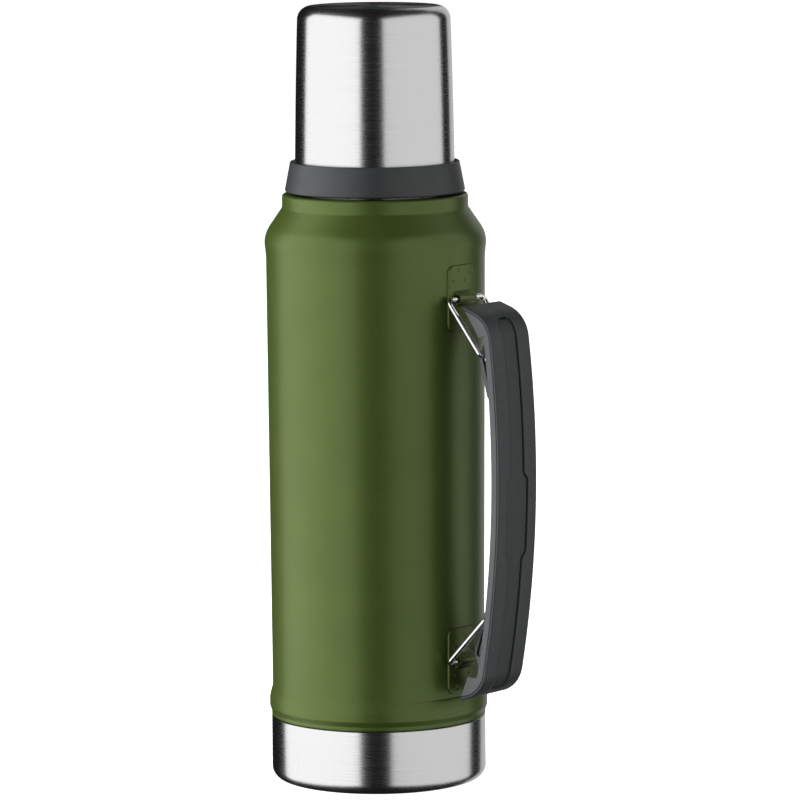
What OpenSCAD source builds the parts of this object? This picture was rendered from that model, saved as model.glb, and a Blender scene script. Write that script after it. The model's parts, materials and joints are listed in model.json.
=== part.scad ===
// Vacuum flask with a steel drinking cup and a wire-hung side handle. Millimetres.
// The flask stands on Z = 0 with its axis on Z, and the handle lies along +X.

/* [Flask body] */
// Outer radius of the bare steel base
base_r = 47; // [46:0.1:48]
// Height of the bare steel base
base_h = 28.4; // [26:0.1:31]
// Outer radius of the painted body just above its bead
body_r = 46.5; // [45.8:0.1:46.8]
// How much wider the body is at the foot of its shoulder
body_flare = 1.2; // [0.6:0.1:1.4]
// Height of the foot of the shoulder
shoulder_z = 236.3; // [232:0.1:240]
// Radius of the rounding at the foot of the shoulder
shoulder_round = 13; // [10:0.5:14]
// Outer radius of the painted neck
neck_r = 40.5; // [39.5:0.1:41.5]
// Thickness of the pressed steel sheets
sheet = 0.8; // [0.6:0.05:0.9]

/* [Cup and stopper] */
// Height of the dark collar of the cup
collar_h = 13.2; // [12:0.1:15]
// Outer radius of the steel cup where it leaves the collar
cup_r = 34.7; // [34:0.1:35.2]
// Height of the steel cup above the collar
cup_h = 67.5; // [62:0.5:72]
// Radius of the cup's top edge
cup_edge = 6; // [4:0.5:8]
// Inner radius of the flask's mouth
mouth_r = 26.6; // [26:0.1:27]

/* [Brackets and bails] */
// Height of the lower bail's hinge line
lower_hinge_z = 56.6; // [54:0.1:60]
// Height of the upper bail's hinge line
upper_hinge_z = 214.8; // [210:0.1:217]
// Radius of the bail wire
wire_r = 1.15; // [1:0.05:1.2]
// Length of a bail from its hinge line to its cross bar
bail_l = 28.5; // [27:0.5:30]
// Angle of the hanging upper bail, from straight down
upper_angle = 35; // [33:0.5:36]
// Angle of the standing lower bail, from straight up
lower_angle = 42; // [41:0.5:43]
// Height of a bracket plate
plate_h = 28.8; // [26:0.2:30]
// Width of a bracket plate, round the body
plate_w = 18.7; // [17:0.1:20]

/* [Handle] */
// Distance of the handle's outer face from the flask axis
grip_r = 77.2; // [76.5:0.1:78]
// Height of the handle's middle
grip_z = 126.3; // [125.5:0.1:127]
// Lean of the handle, top outwards
grip_lean = 1.6; // [1:0.1:2]
// Width of the handle
grip_w = 26.8; // [26.4:0.1:28]
// Radius of the arch of the handle's outer face
grip_arch = 470; // [440:5:500]
// Radius of the handle's end corners
grip_corner = 14.5; // [14:0.1:15]
// Thickness of the handle in its middle
grip_t = 6.6; // [6:0.1:7]

/* [Hidden] */

round_fn = 128;
small_fn = 48;
// Gap between pieces that move past each other, and between pieces that are only laid together
move_gap = 0.3;
lay_gap = 0.05;

// Heights up the flask
bead_z = 31;
bead_h = 9;
bead_out = 1.35;
skirt_in = base_r - sheet;
slope = 33.1;
flare_z = 229.6;
vertex_z = shoulder_z + shoulder_round * tan(slope / 2);
shoulder_r = body_r + body_flare + 0.6;
crease_z = vertex_z + (shoulder_r - neck_r) / tan(slope);
neck_top = crease_z + 5.5;
mouth_z = neck_top + 26;
collar_z = neck_top + 0.9;
cup_z = collar_z + collar_h;
cup_top = cup_z + cup_h;
vessel_z = 42;

// The neck's double wall
tube_r = 31;
seat_z = neck_top - 6;
seat_r = mouth_r - 2.2;

function body_at(z) = body_r + body_flare * (z - 40) / (flare_z - 40);
function arc(x, z, r, from, to, steps = 8) =
    [for (i = [0:steps]) let (a = from + (to - from) * i / steps) [x + r * cos(a), z + r * sin(a)]];
module revolve(points) rotate_extrude($fn = round_fn) polygon(points);
module ring(r_out, r_in, z, h) translate([0, 0, z]) difference() {
    cylinder(r = r_out, h = h, $fn = round_fn);
    translate([0, 0, -1]) cylinder(r = r_in, h = h + 2, $fn = round_fn);
}

// Painted outer shell: a bead over the steel base, a tapered body, a shoulder and a neck
module outer_shell() color([0.27, 0.36, 0.14]) revolve(concat(
    [[skirt_in, base_h], [base_r, base_h], [base_r, bead_z - 0.6],
        [body_r + bead_out - 0.2, bead_z + 1.6], [body_r + bead_out, bead_z + 2.8], [body_r + bead_out, bead_z + bead_h - 4],
        [body_r + 0.2, bead_z + bead_h - 0.6], [body_at(bead_z + bead_h + 1), bead_z + bead_h + 1],
        [body_at(flare_z), flare_z]],
    arc(shoulder_r - shoulder_round, shoulder_z, shoulder_round, 0, slope),
    arc(neck_r + 1.2, crease_z + 0.8, 1.2, 180 + slope, 180, 4),
    arc(neck_r - 1.2, neck_top - 1.2, 1.2, 0, 90, 4),
    [[tube_r + lay_gap, neck_top], [tube_r + lay_gap, neck_top - sheet], [neck_r - sheet, neck_top - sheet],
        [neck_r - sheet, crease_z - 0.2], [shoulder_r - sheet - 1.6, vertex_z - 0.4],
        [shoulder_r - sheet, shoulder_z], [body_at(flare_z) - sheet, flare_z],
        [body_r - sheet, bead_z + bead_h + 1], [body_r - sheet, bead_z + bead_h - 3],
        [skirt_in, bead_z + bead_h - 3]]));

// Brushed steel cup that closes the bottom, with a flat resting disc and a pressed ring round it
module base_cup() color([0.75, 0.75, 0.76]) difference() {
    revolve(concat([[0, 0]], arc(base_r - 5.5, 5.5, 5.5, -90, 0),
        [[base_r, base_h - 0.9], [skirt_in - lay_gap, base_h - 0.1], [skirt_in - lay_gap, bead_z + bead_h - 3.4],
            [skirt_in - sheet, bead_z + bead_h - 3.4], [skirt_in - sheet, base_h - 0.4],
            [base_r - sheet, base_h - 1.2], [base_r - sheet, 5.5],
            [base_r - 4.5, 1.6 + sheet], [base_r - 7, 1 + sheet], [0, 1 + sheet]]));
    translate([0, 0, -1]) ring(base_r - 11, base_r - 14, 0, 1.8);
}

// Welded bottom of the vacuum wall, with a pump-out well in its middle
module vacuum_bottom() color([0.7, 0.7, 0.71]) revolve([[1.6, 32], [9, 32], [9, 37.2], [body_r - 1.9, 37.2],
    [body_r - sheet - 0.1, 38], [body_r - sheet - 0.1, 40], [body_r - sheet - 0.9, 40],
    [body_r - sheet - 0.9, 38.6], [body_r - 2.2, 38], [8.2, 38], [8.2, 32.8], [1.6, 32.8]]);

// Bead of solder that seals the pump-out hole
module vacuum_plug() color([0.62, 0.64, 0.66])
    revolve([[0, 31.2], [3.4, 31.2], [4.2, 32], [1.6, 32], [1.6, 32.8], [2.6, 32.8], [2.2, 33.6], [0, 33.9]]);

// Button of metal in the vacuum space that takes up stray gas
module getter() color([0.5, 0.5, 0.52]) translate([20, 0, 38]) cylinder(r = 5, h = 1.4, $fn = small_fn);

vessel_r = body_r - 3.4;
vessel_shoulder = shoulder_z - 6;
// Inner steel vessel that holds the drink
module inner_vessel() color([0.78, 0.78, 0.79]) revolve(concat([[0, vessel_z]],
    arc(vessel_r - 9, vessel_z + 9, 9, -90, 0, 6),
    arc(vessel_r - 12, vessel_shoulder, 12, 0, 62, 6),
    [[seat_r + sheet, seat_z - 6], [seat_r + sheet, seat_z], [seat_r, seat_z], [seat_r, seat_z - 6.5]],
    arc(vessel_r - 12, vessel_shoulder, 12 - sheet, 62, 0, 6),
    arc(vessel_r - 9, vessel_z + 9, 9 - sheet, 0, -90, 6),
    [[0, vessel_z + sheet]]));

// Copper foil round the inner vessel that turns back radiant heat
module foil_wrap() color([0.72, 0.45, 0.3])
    ring(vessel_r + lay_gap + 0.2, vessel_r + lay_gap, vessel_z + 12, vessel_shoulder - vessel_z - 14);

// Double-walled steel neck, open below to the vacuum, with a rolled rim and a seat for the stopper
module neck_tube() color([0.8, 0.8, 0.81]) revolve(concat(
    [[tube_r - sheet, seat_z + 2], [tube_r, seat_z + 2]],
    arc(tube_r - 1, mouth_z - 1, 1, 0, 90, 4), arc(mouth_r + 1, mouth_z - 1, 1, 90, 180, 4),
    [[mouth_r, seat_z + 3.4], [seat_r, seat_z + 0.8], [seat_r, seat_z], [seat_r + sheet, seat_z],
        [seat_r + sheet + 0.1, seat_z + 0.4], [mouth_r + sheet, seat_z + 2.9],
        [mouth_r + sheet, mouth_z - 1.6], [tube_r - sheet, mouth_z - 1.6]]));

// Hinge lines of the bails, a little off the tapered body
knuckle_r = 2.3;
bore_r = wire_r + 0.05;
hinge_off = bore_r + 0.4;
lower_hinge = [body_at(lower_hinge_z) + hinge_off, 0, lower_hinge_z];
upper_hinge = [body_at(upper_hinge_z) + hinge_off, 0, upper_hinge_z];
knuckle_l = 11.5;
plate_corner = 3.5;

module rounded_plate(w, h, r) {
    square([w - 2 * r, h], center = true);
    square([w, h - 2 * r], center = true);
    for (x = [-1, 1], y = [-1, 1])
        translate([x * (w / 2 - r), y * (h / 2 - r)]) circle(r = r, $fn = small_fn);
}

// Weld marks sunk in the plates, across and up from the knuckle
upper_welds = [[-3.2, 12.2], [-6.7, 7], [1.4, 7.5]];
lower_welds = [[-5.6, 6.4], [-5.5, -5.2]];
weld_r = 0.9;
weld_depth = 0.4;

// Pressed bracket: a curved plate against the body with a knuckle for the bail's ends
module bracket(hinge, welds) color([0.27, 0.36, 0.14]) {
    z_low = hinge[2] - plate_h / 2;
    z_high = hinge[2] + plate_h / 2;
    plate_out = body_at(hinge[2]) + lay_gap + sheet;
    inner = [[body_at(z_low) + lay_gap, z_low], [body_at(z_high) + lay_gap, z_high]];
    difference() {
        union() {
            intersection() {
                rotate([0, 0, -20]) rotate_extrude(angle = 40, $fn = round_fn)
                    polygon([inner[0] - [1, 0], inner[0] + [sheet, 0], inner[1] + [sheet, 0], inner[1] - [1, 0]]);
                translate([0, 0, hinge[2]]) rotate([90, 0, 90])
                    linear_extrude(100) rounded_plate(plate_w, plate_h, plate_corner);
            }
            translate(hinge) rotate([90, 0, 0]) cylinder(r = knuckle_r, h = knuckle_l, center = true, $fn = small_fn);
            translate(hinge - [knuckle_r, knuckle_l / 2, 0])
                translate([0, 0, -knuckle_r]) cube([knuckle_r, knuckle_l, 2 * knuckle_r]);
        }
        translate(hinge) rotate([90, 0, 0]) cylinder(r = bore_r, h = 3 * knuckle_l, center = true, $fn = small_fn);
        for (s = [-1, 1]) translate(hinge + [0, s * (knuckle_l / 2 + 4), 0])
            rotate([90, 0, 0]) cylinder(r = 2, h = 8, center = true, $fn = small_fn);
        translate([0, 0, z_low - 1]) cylinder(
            r1 = body_at(z_low - 1) + lay_gap, r2 = body_at(z_high + 1) + lay_gap, h = plate_h + 2, $fn = round_fn);
        for (weld = welds) translate([0, 0, hinge[2] + weld[1]]) rotate([0, 90, asin(weld[0] / plate_out)])
            translate([0, 0, plate_out - weld_depth]) cylinder(r = weld_r, h = 2, $fn = small_fn);
    }
}
module upper_bracket() bracket(upper_hinge, upper_welds);
module lower_bracket() bracket(lower_hinge, lower_welds);

// Bail: one bent wire. Both ends lie in the knuckle, the legs close in towards the cross bar.
bend_r = 2.6;
splay = 4.4;
leg_y = 12.3;
leg_l = (bail_l - 2 * bend_r) / cos(splay);
pin_end = leg_y - bend_r * cos(splay);
bar_end = leg_y - leg_l * sin(splay) - bend_r * cos(splay);
// A straight length of wire runs a little way into the bends at its ends, which are slightly thicker
lap = 0.2;
bend_swell = 0.03;
module wire(l) translate([0, -lap, 0]) rotate([-90, 0, 0]) cylinder(r = wire_r, h = l + 2 * lap, $fn = small_fn);
module bend(turn) rotate([0, 0, -90]) rotate_extrude(angle = turn, $fn = round_fn)
    translate([bend_r, 0]) circle(r = wire_r + bend_swell, $fn = small_fn);
leg_bottom = [leg_y, bend_r * (1 + sin(splay))];
module half_bail() {
    translate([2, 0, 0]) rotate([0, 0, -90]) wire(pin_end - 2);
    translate([pin_end, bend_r, 0]) bend(90 + splay);
    translate([leg_bottom[0], leg_bottom[1], 0]) rotate([0, 0, splay]) wire(leg_l);
    translate([bar_end, bail_l - bend_r, 0]) rotate([0, 0, 90 + splay]) bend(90 - splay);
}
module bail() color([0.85, 0.85, 0.86]) {
    half_bail();
    mirror([1, 0, 0]) half_bail();
    translate([-bar_end, bail_l, 0]) rotate([0, 0, -90]) wire(2 * bar_end);
}
module upper_bail() translate(upper_hinge) rotate([0, -90 - upper_angle, 0]) rotate([0, 0, 90]) bail();
module lower_bail() translate(lower_hinge) rotate([0, 90 + lower_angle, 0]) rotate([0, 0, 90]) bail();

// Handle, drawn round its own middle: X outwards from its outer face, Z along it
module place_handle() translate([grip_r, 0, grip_z]) rotate([0, grip_lean, 0]) children();
function to_handle(p) = let (x = p[0] - grip_r, z = p[2] - grip_z)
    [x * cos(grip_lean) - z * sin(grip_lean), x * sin(grip_lean) + z * cos(grip_lean)];

// Where the cross bars lie in the handle's slots, both written for its upper half
lower_bar = to_handle(lower_hinge + bail_l * [sin(lower_angle), 0, cos(lower_angle)]);
upper_bar = to_handle(upper_hinge + bail_l * [sin(upper_angle), 0, -cos(upper_angle)]);
slot_in = [lower_bar[0], -lower_bar[1]];
slot_out = upper_bar;
slot_r = wire_r + 0.45;

corner_turn = 64;
tip_l = 6;
corner_z = 70.4;
arch_angle = asin(corner_z / (grip_arch - grip_corner));
corner_x = (grip_arch - grip_corner) * cos(arch_angle) - grip_arch;
tip_angle = arch_angle + corner_turn;

// Half of the curve that runs at a depth under the handle's outer face, from its middle to a tip.
// turn is how far it goes round the end corner.
function half_curve(depth, turn) = concat(
    arc(-grip_arch, 0, grip_arch - depth, 0, arch_angle, 12),
    arc(corner_x, corner_z, grip_corner - depth, arch_angle, arch_angle + turn, 8),
    turn < corner_turn ? [] : [[corner_x, corner_z] + (grip_corner - depth) * [cos(tip_angle), sin(tip_angle)]
        + tip_l * [-sin(tip_angle), cos(tip_angle)]]);
function curve(depth, turn) = let (half = half_curve(depth, turn), n = len(half) - 1)
    concat([for (i = [n:-1:1]) [half[i][0], -half[i][1]]], half);
function reversed(list) = [for (i = [len(list) - 1:-1:0]) list[i]];
// A layer of the handle between two depths, from one side to the other of its width
module layer(from, to, y0, y1, turn = corner_turn)
    translate([0, y1, 0]) rotate([90, 0, 0]) linear_extrude(y1 - y0)
        polygon(concat(curve(from, turn), reversed(curve(to, turn))));

cover_t = 1.3;
flange_t = 1.4;
web_in = 4.4;
// Layers of the face and of the back: from and to a depth, and how far in from the sides
face_steps = [[0, 0.35, 1.1], [0.35, 0.8, 0.4], [0.8, cover_t, 0]];
back_steps = [[web_in, 5, 0.8], [5, 5.8, 2.2], [5.8, grip_t, 4.2]];
insert_w = 8.4;
insert_t = 1.1;
insert_turn = 40;
insert_wide_w = 13.6;
insert_wide_l = 35;
insert_wide_z = -4.4;
screw_z = 30;
// Where the screws' heads bear on the frame, in from the outer face
screw_seat = 6;
half_w = grip_w / 2;
// Tip and inner corner of the end webs, for the top and for the foot
web_tip = [[-22.4, 87], [-20, 87]];
web_corner = [[-12.6, 73.2], [-15.3, 74.4]];

// Inner half of the handle: side flanges, a rounded back, and slotted ribs for the bails
module handle_frame() color([0.33, 0.35, 0.36]) place_handle() difference() {
    union() {
        for (s = [-1, 1]) layer(cover_t + lay_gap, web_in, min(s * half_w, s * (half_w - flange_t)),
            max(s * half_w, s * (half_w - flange_t)));
        difference() {
            for (step = back_steps) layer(step[0], step[1], -half_w + step[2], half_w - step[2]);
            for (foot = [0, 1]) mirror([0, 0, foot]) scoop();
        }
        for (foot = [0, 1], s = [-1, 1]) mirror([0, 0, foot]) {
            translate([0, s * (half_w - flange_t / 2), 0]) gusset(flange_t, web_corner[foot]);
            translate([0, s * 6.9, 0]) rib(1.8);
        }
    }
    end_cuts();
    for (s = [-1, 1]) translate([-12, 0, s * screw_z]) rotate([0, 90, 0])
        cylinder(r = 1.6, h = 12, $fn = small_fn);
    for (s = [-1, 1]) translate([-12, 0, s * screw_z]) rotate([0, 90, 0])
        cylinder(r = 3.2, h = 12 - screw_seat, $fn = small_fn);
}
// Corner web of a side flange at the handle's end, drawn under the outer face
module gusset(t, corner) rotate([90, 0, 0]) linear_extrude(t, center = true)
    polygon(concat([corner], arc(corner_x, corner_z, grip_corner - 3, 22, 86, 5)));
// Space that a bail's legs swing through, cut into the back between the flanges
module scoop() rotate([90, 0, 0]) linear_extrude(2 * (half_w - flange_t), center = true) slot(12);
// Space inwards of the handle's slanted ends
module end_cuts() for (foot = [0, 1]) mirror([0, 0, foot]) rotate([90, 0, 0])
    linear_extrude(2 * grip_w, center = true)
        polygon([web_tip[foot], web_corner[foot], web_corner[foot] - [16, 13], web_tip[foot] - [16, 0]]);
// Slotted rib that a bail's cross bar passes through
module rib(t) rotate([90, 0, 0]) linear_extrude(t, center = true) difference() {
    polygon(concat([[-7, 44], [-9.6, 44]], arc(slot_in[0] - 0.3, slot_in[1] - 0.2, slot_r + 1.5, -110, -190, 5),
        arc(slot_out[0] + 0.2, slot_out[1], slot_r + 1.5, 190, 150, 3), [[-13.2, 74], [-13.4, 77.2], [-12.2, 76]]));
    slot(0);
}
// The slot that a cross bar lies in, grown inwards by a width
module slot(grown) {
    d = slot_out - slot_in;
    translate(slot_in) circle(r = slot_r, $fn = small_fn);
    translate(slot_out) circle(r = slot_r, $fn = small_fn);
    translate(slot_in) rotate(atan2(d[1], d[0])) translate([0, -slot_r]) square([norm(d), 2 * slot_r + grown]);
}

// Outer half of the handle: a face with eased edges and a tongue between the frame's flanges
module handle_cover() color([0.25, 0.26, 0.27]) place_handle() difference() {
    union() {
        for (step = face_steps) layer(step[0], step[1], -half_w + step[2], half_w - step[2]);
        layer(cover_t, web_in - 0.1, flange_t + lay_gap - half_w, half_w - flange_t - lay_gap);
    }
    insert_space(lay_gap, -1);
    end_cuts();
    for (s = [-1, 1]) translate([-9, 0, s * screw_z]) rotate([0, 90, 0])
        cylinder(r = 1.3, h = 7, $fn = small_fn);
}
// Space of the band let into the handle's face, wider in its middle part, grown by a gap
module insert_space(gap, top) {
    layer(top, insert_t + gap, -insert_w / 2 - gap, insert_w / 2 + gap, insert_turn);
    intersection() {
        layer(top, insert_t + gap, -insert_wide_w / 2 - gap, insert_wide_w / 2 + gap);
        translate([0, 0, insert_wide_z]) cube([60, 60, insert_wide_l + 2 * gap], center = true);
    }
}

// Soft band that the fingers close round
module grip_insert() color([0.22, 0.23, 0.24]) place_handle() insert_space(0, 0.25);

// Two screws that hold the halves of the handle together, heads in the frame's back
module handle_screws() color([0.6, 0.6, 0.62]) place_handle() for (s = [-1, 1])
    translate([-screw_seat, 0, s * screw_z]) rotate([0, 90, 0]) {
        translate([0, 0, -1.2]) difference() {
            cylinder(r = 2.9, h = 1.2, $fn = small_fn);
            for (a = [0, 90]) rotate([0, 0, a]) translate([-1.6, -0.35, -0.1]) cube([3.2, 0.7, 0.7]);
        }
        cylinder(r = 1.25, h = 3.7, $fn = small_fn);
    }

// Stopper: a hollow plug with a foam core, a fluted knob above the mouth and a soft ring below
plug_r = mouth_r - move_gap - 0.1;
plug_z = seat_z + 4;
nose_r = seat_r - 1.6;
nose_z = seat_z - 2;
knob_z = mouth_z + 2;
knob_h = 17;
knob_r = mouth_r - 1;
seal_h = 1.9;
module stopper_body() color([0.13, 0.13, 0.14]) revolve([[0, nose_z], [nose_r - 1, nose_z], [nose_r, nose_z + 1],
    [nose_r, plug_z], [plug_r, plug_z], [plug_r, knob_z], [plug_r - 2, knob_z], [plug_r - 2, plug_z + 2],
    [nose_r - 2, plug_z + 2], [nose_r - 2, nose_z + 2], [0, nose_z + 2]]);
module stopper_foam() color([0.9, 0.88, 0.78]) revolve([[0, nose_z + 2.1], [nose_r - 2.1, nose_z + 2.1],
    [nose_r - 2.1, plug_z + 2.1], [plug_r - 2.1, plug_z + 2.1], [plug_r - 2.1, knob_z - 0.1], [0, knob_z - 0.1]]);
module stopper_gasket() color([0.75, 0.73, 0.7]) revolve([[nose_r + lay_gap, plug_z - 2.6],
    [seat_r + 0.5, plug_z - 1.6], [seat_r + 1.2, plug_z - 0.8], [seat_r + 1.2, plug_z], [nose_r + lay_gap, plug_z]]);
module stopper_knob() color([0.13, 0.13, 0.14]) difference() {
    revolve([[0, knob_z], [knob_r, knob_z], [knob_r, knob_z + knob_h - 2], [knob_r - 2, knob_z + knob_h],
        [knob_r - 8, knob_z + knob_h], [knob_r - 9, knob_z + knob_h - 1], [0, knob_z + knob_h - 1]]);
    for (i = [0:17]) rotate([0, 0, 20 * i]) translate([knob_r + 1.3, 0, knob_z + 3])
        cylinder(r = 2.1, h = knob_h, $fn = small_fn);
}

// Cup: steel outside, plastic liner inside, held together by the dark threaded collar
collar_bore = tube_r + 1.2;
shelf_z = mouth_z + move_gap + seal_h;
sleeve_r = cup_r - sheet - lay_gap - 0.3;
module cup_collar() color([0.2, 0.21, 0.22]) revolve(concat(
    [[collar_bore, collar_z], [neck_r - 2, collar_z]], arc(neck_r - 2, collar_z + 0.9, 0.9, -90, 0, 4),
    arc(neck_r - 4.3, cup_z - 0.8, 0.8, 0, 90, 4),
    [[cup_r + 0.1, cup_z], [cup_r + 0.1, cup_z - 1], [sleeve_r, cup_z - 1], [sleeve_r, shelf_z + 1.2],
        [mouth_r + 0.2, shelf_z + 1.2], [mouth_r + 0.2, shelf_z], [collar_bore, shelf_z]]));
module cup_seal() color([0.8, 0.78, 0.74])
    ring(collar_bore - lay_gap, mouth_r + 0.2, mouth_z + move_gap, seal_h);
cup_bow = [[0, 26, -0.45], [0, 43, -0.85], [0, 54, -1.15]];
function cup_side(off) = [for (p = cup_bow) [cup_r + p[2] - off, cup_z + p[1]]];
module cup_shell() color([0.78, 0.78, 0.79]) revolve(concat([[cup_r, cup_z - 0.9]], cup_side(0),
    arc(cup_r - 1.4 - cup_edge, cup_top - cup_edge, cup_edge, 0, 90),
    [[0, cup_top], [0, cup_top - sheet]],
    arc(cup_r - 1.4 - cup_edge, cup_top - cup_edge, cup_edge - sheet, 90, 0),
    [for (i = [2:-1:0]) cup_side(sheet)[i]], [[cup_r - sheet, cup_z - 0.9]]));
liner_r = cup_r - 3.2;
liner_top = cup_top - 3.4;
liner_z = shelf_z + 1.2;
module cup_liner() color([0.3, 0.31, 0.32]) revolve(concat([[liner_r, liner_z]],
    arc(liner_r - 1.4 - 7, liner_top - 7, 7, 0, 90),
    [[0, liner_top], [0, liner_top - 1.2]],
    arc(liner_r - 1.4 - 7, liner_top - 7, 5.8, 90, 0), [[liner_r - 1.2, liner_z]]));

outer_shell();
base_cup();
vacuum_bottom();
vacuum_plug();
getter();
inner_vessel();
foil_wrap();
neck_tube();
upper_bracket();
lower_bracket();
upper_bail();
lower_bail();
handle_frame();
handle_cover();
grip_insert();
handle_screws();
stopper_body();
stopper_knob();
stopper_foam();
stopper_gasket();
cup_shell();
cup_liner();
cup_collar();
cup_seal();
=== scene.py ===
"""Looks of the vacuum flask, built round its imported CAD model.

Every piece is made in metres in the CAD frame: +Z up the flask's axis, the handle along +X.
Sizes that the pieces need come from the CAD nodes' boxes; small details are named in millimetres.
"""

import json
import math

import bmesh
import bpy
from mathutils import Matrix, Vector


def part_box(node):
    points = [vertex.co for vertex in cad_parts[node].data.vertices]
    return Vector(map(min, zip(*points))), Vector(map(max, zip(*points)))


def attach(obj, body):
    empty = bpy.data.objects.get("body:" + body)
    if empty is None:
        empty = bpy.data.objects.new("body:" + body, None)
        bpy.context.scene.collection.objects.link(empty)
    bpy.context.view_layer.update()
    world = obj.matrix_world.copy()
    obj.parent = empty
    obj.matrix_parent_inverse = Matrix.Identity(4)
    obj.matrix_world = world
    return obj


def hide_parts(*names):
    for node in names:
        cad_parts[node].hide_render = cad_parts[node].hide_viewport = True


MM = 0.001
ROUND = 224

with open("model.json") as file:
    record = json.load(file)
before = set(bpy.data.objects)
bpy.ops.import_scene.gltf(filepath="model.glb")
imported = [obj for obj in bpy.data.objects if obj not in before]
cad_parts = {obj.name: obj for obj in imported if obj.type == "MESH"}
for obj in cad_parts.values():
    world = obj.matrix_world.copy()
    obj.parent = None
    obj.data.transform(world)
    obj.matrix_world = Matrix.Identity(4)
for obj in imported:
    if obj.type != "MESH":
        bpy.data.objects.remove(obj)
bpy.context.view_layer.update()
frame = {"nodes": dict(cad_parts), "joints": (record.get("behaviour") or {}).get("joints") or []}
nodes = frame["nodes"]


# ---------------------------------------------------------------- sizes from the CAD, in millimetres


def node_box(name):
    low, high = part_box(name)
    return low / MM, high / MM


def outer_radius(name):
    return node_box(name)[1].y


def top_of(name):
    return node_box(name)[1].z


def bottom_of(name):
    return node_box(name)[0].z


def hinge_of(joint):
    return Vector(next(j["pos_m"] for j in frame["joints"] if j["name"] == joint)) / MM


SHEET = 0.8
BASE_R = 47.0
BODY_R = 46.5
FLARE = 1.2
TAPER_Z = 40
FLARE_Z = 229.6
BEAD_R = BODY_R + 1.35
BEAD_Z = 31.0
NECK_R = 40.5
NECK_TOP = top_of("outer_shell")
SHELL_BOTTOM = bottom_of("outer_shell")
SHOULDER_R = outer_radius("outer_shell")
SHOULDER_Z = 236.3
SHOULDER_ROUND = 13.0
SLOPE = math.radians(33.1)
CREASE_Z = NECK_TOP - 5.5
TUBE_R = outer_radius("neck_tube")
MOUTH_Z = top_of("neck_tube")
MOUTH_R = 26.6
COLLAR_Z = bottom_of("cup_collar")
COLLAR_BORE = TUBE_R + 1.2
COLLAR_TOP = 271.73
CUP_TOP = top_of("cup_shell")
CUP_R = 34.7

HINGES = {"upper": hinge_of("upper_bail_swing"), "lower": hinge_of("lower_bail_swing")}
BAIL_L = 28.5
WIRE_R = 1.15
UPPER_ANGLE = math.radians(35)
LOWER_ANGLE = math.radians(42)

GRIP_R = 77.2
GRIP_Z = 126.3
GRIP_LEAN = math.radians(1.6)
HALF_W = node_box("handle_frame")[1].y
ARCH = 470.0
CORNER = 14.5
CORNER_Z = 70.4
CORNER_TURN = math.radians(64)
TIP = 6.0


# ---------------------------------------------------------------- mesh helpers


def mesh_piece(name, points, faces, smooth=35):
    """A mesh object from points in millimetres, smooth except at edges sharper than an angle."""
    mesh = bpy.data.meshes.new(name)
    mesh.from_pydata([Vector(p) * MM for p in points], [], faces)
    mesh.validate()
    piece = bpy.data.objects.new(name, mesh)
    bpy.context.scene.collection.objects.link(piece)
    tidy(piece, smooth)
    return piece


def tidy(piece, smooth=35):
    """Turns the faces outwards and sets the smooth shading."""
    work = bmesh.new()
    work.from_mesh(piece.data)
    bmesh.ops.remove_doubles(work, verts=work.verts, dist=1e-7)
    bmesh.ops.recalc_face_normals(work, faces=work.faces)
    work.to_mesh(piece.data)
    work.free()
    piece.data.polygons.foreach_set("use_smooth", [True] * len(piece.data.polygons))
    piece.data.set_sharp_from_angle(angle=math.radians(smooth))


def rounded(corners, closed=True, steps=6):
    """A polyline from corners (a, b, radius), each rounded by an arc of its radius."""
    line = []
    count = len(corners)
    for i, (a, b, radius) in enumerate(corners):
        here = Vector((a, b))
        if not radius or (not closed and i in (0, count - 1)):
            line.append(here)
            continue
        back = Vector(corners[i - 1][:2]) - here
        ahead = Vector(corners[(i + 1) % count][:2]) - here
        half = back.angle(ahead) / 2
        if half > math.radians(89):
            line.append(here)
            continue
        reach = min(radius / math.tan(half), 0.49 * back.length, 0.49 * ahead.length)
        radius = reach * math.tan(half)
        centre = here + (back.normalized() + ahead.normalized()).normalized() * radius / math.sin(half)
        start = here + back.normalized() * reach - centre
        end = here + ahead.normalized() * reach - centre
        for k in range(steps + 1):
            line.append(centre + radius * start.slerp(end, k / steps))
    return line


def lathe(name, profile, closed=True, shape=None, around=ROUND, smooth=35):
    """Revolves a profile of (radius, height) about Z. shape(radius, height, turn) may vary the radius."""
    points, rings, faces = [], [], []
    for r, z in profile:
        if r < 1e-6:
            rings.append([len(points)] * around)
            points.append((0, 0, z))
            continue
        rings.append(list(range(len(points), len(points) + around)))
        for k in range(around):
            turn = 2 * math.pi * k / around
            radius = shape(r, z, turn) if shape else r
            points.append((radius * math.cos(turn), radius * math.sin(turn), z))
    last = len(rings) if closed else len(rings) - 1
    for i in range(last):
        low, high = rings[i], rings[(i + 1) % len(rings)]
        for k in range(around):
            corners = [low[k], low[(k + 1) % around], high[(k + 1) % around], high[k]]
            corners = [c for n, c in enumerate(corners) if c not in corners[:n]]
            if len(corners) > 2:
                faces.append(corners)
    return mesh_piece(name, points, faces, smooth)


def sweep(sections):
    """Points and faces of a closed skin through ring sections with the same number of points."""
    points, faces = [], []
    size = len(sections[0])
    for section in sections:
        points.extend(section)
    for i in range(len(sections) - 1):
        for k in range(size):
            a, b = i * size + k, i * size + (k + 1) % size
            faces.append([a, b, b + size, a + size])
    faces.append(list(range(size))[::-1])
    faces.append([(len(sections) - 1) * size + k for k in range(size)])
    return points, faces


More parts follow.
